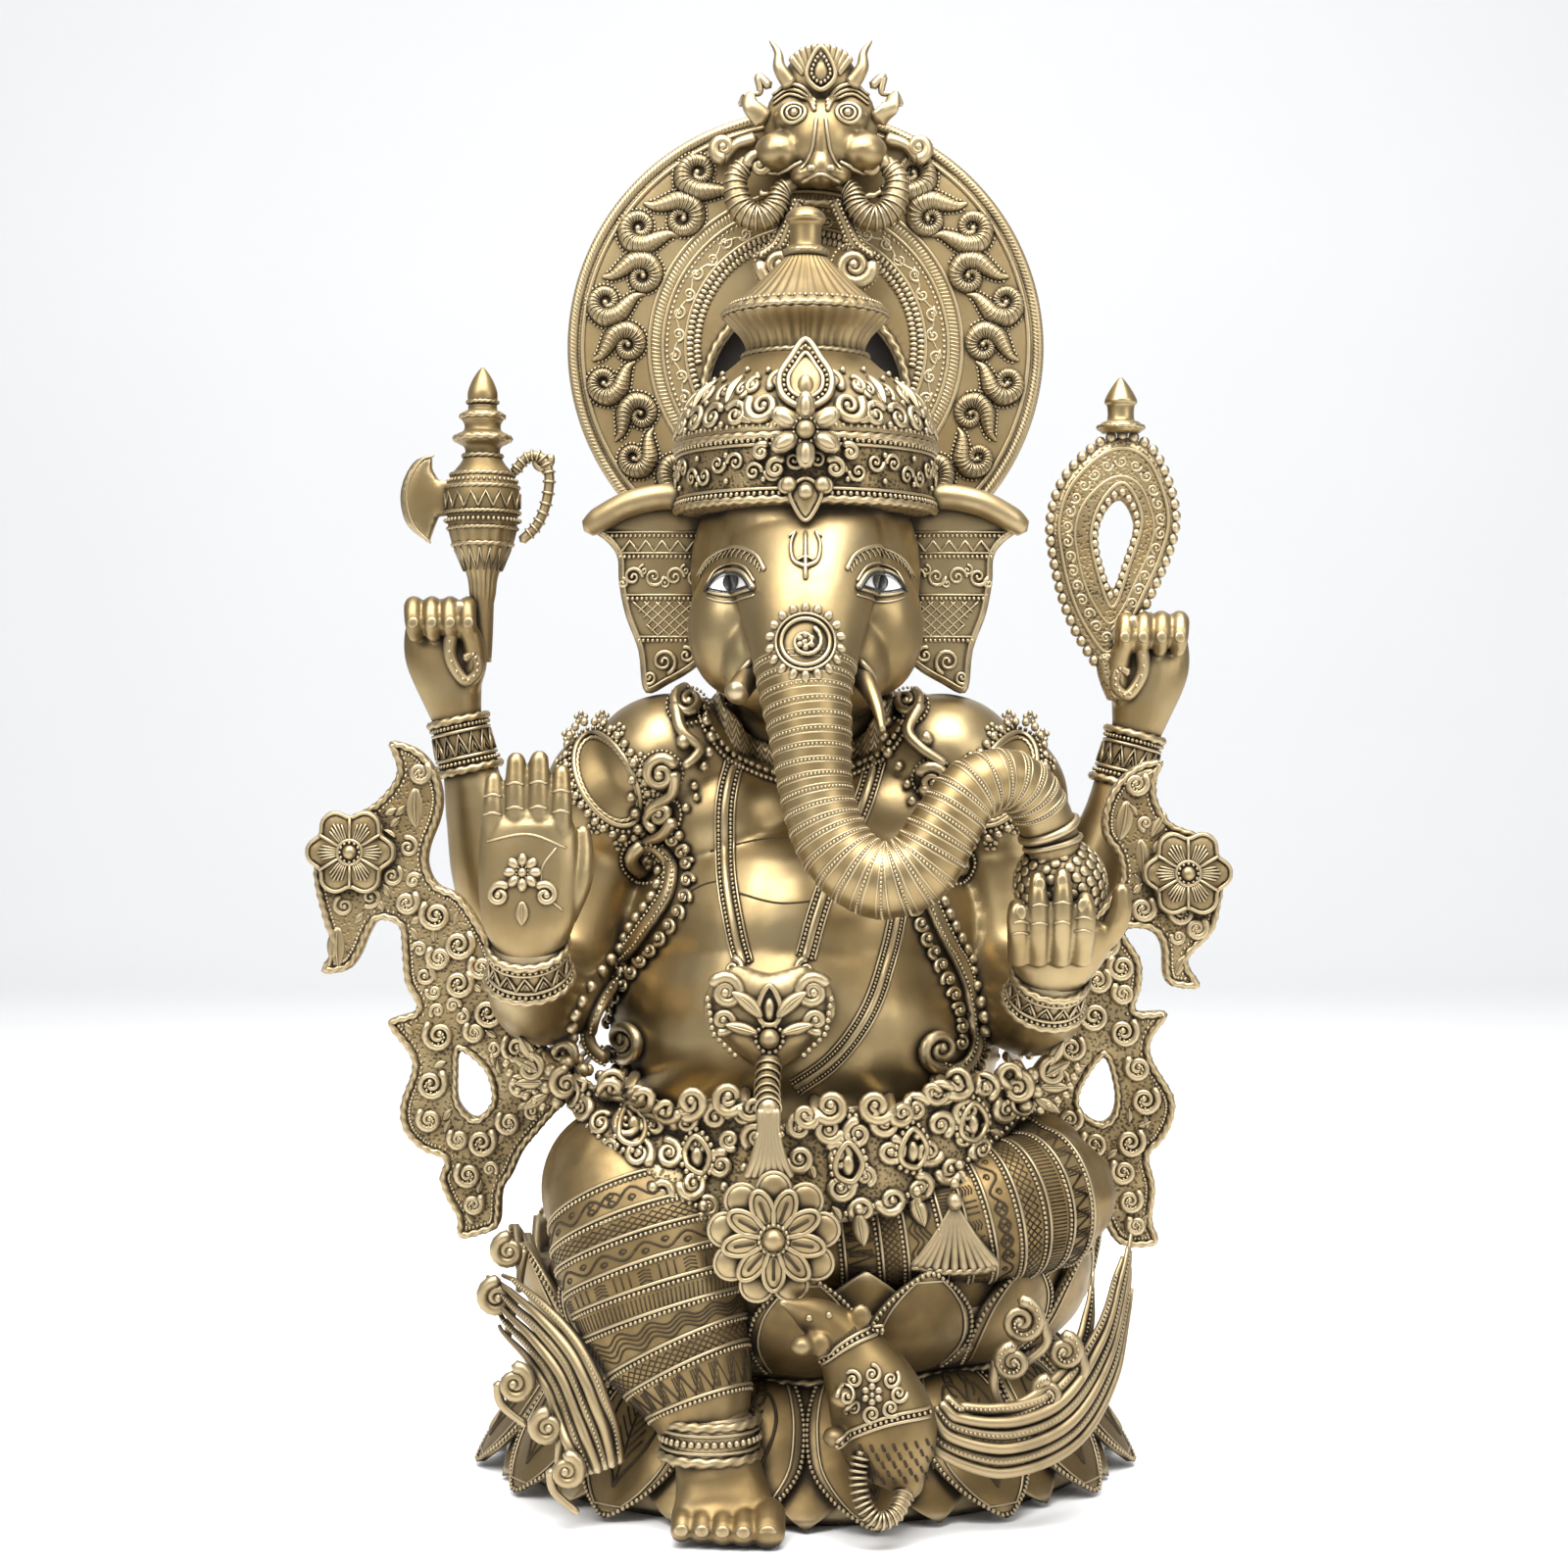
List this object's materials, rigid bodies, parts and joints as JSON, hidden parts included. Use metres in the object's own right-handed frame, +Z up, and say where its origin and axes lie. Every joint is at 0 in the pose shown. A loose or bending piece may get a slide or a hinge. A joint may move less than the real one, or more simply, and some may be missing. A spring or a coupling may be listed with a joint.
{
  "type": "ganesha idol",
  "caption": "Seated elephant-headed brass deity on a double lotus base, with trunk, tusks, raised arms holding emblems, a tall crown, a round aureole and pierced side brackets.",
  "frame": {"origin": "middle of the whole object's footprint, at floor level", "axes": "+X towards the viewer's right (the figure's left), +Y towards the figure's back, +Z up"},
  "size_m": [0.5656, 0.4444, 0.914],
  "materials": {
    "brass": "cast and chased, polished high spots with dark patina in the recesses",
    "old_brass": "cast and chased, browner with age",
    "enamel": "gloss white enamel inlay with a painted dark pupil",
    "blacked_brass": "blackened sheet",
    "steel": "plain bolts"
  },
  "bodies": {
    "root": {"aureole": "brass", "aureole_back_pan": "blacked_brass", "axe_blade": "brass", "base_bolt_1": "steel", "base_bolt_2": "steel", "base_bolt_3": "steel", "belt": "brass", "belt_flower": "brass", "collar": "brass", "crown_band": "brass", "crown_cap": "brass", "crown_dome": "brass", "crown_finial": "brass", "ewer": "brass", "ewer_finial": "brass", "ewer_handle": "brass", "head": "brass", "left_aureole_bolt": "steel", "left_bracket": "brass", "left_ear": "brass", "left_eye": "enamel", "left_flower": "brass", "left_foot": "old_brass", "left_front_arm": "brass", "left_front_cuff": "brass", "left_front_hand": "brass", "left_garland": "brass", "left_leg": "old_brass", "left_rear_arm": "brass", "left_rear_cuff": "brass", "left_rear_hand": "brass", "left_sash": "brass", "left_tusk": "brass", "lion_mask": "brass", "lotus_lower_ring": "old_brass", "lotus_upper_ring": "old_brass", "mouse": "old_brass", "navel_brooch": "brass", "noose": "brass", "noose_finial": "brass", "right_anklet": "old_brass", "right_aureole_bolt": "steel", "right_bracket": "brass", "right_ear": "brass", "right_eye": "enamel", "right_flower": "brass", "right_foot": "old_brass", "right_front_arm": "brass", "right_front_cuff": "brass", "right_front_hand": "brass", "right_garland": "brass", "right_leg": "old_brass", "right_rear_arm": "brass", "right_rear_cuff": "brass", "right_rear_hand": "brass", "right_sash": "brass", "right_tusk": "brass", "sweet_ball": "brass", "torso": "brass", "trunk": "brass"}
  },
  "joints": []
}
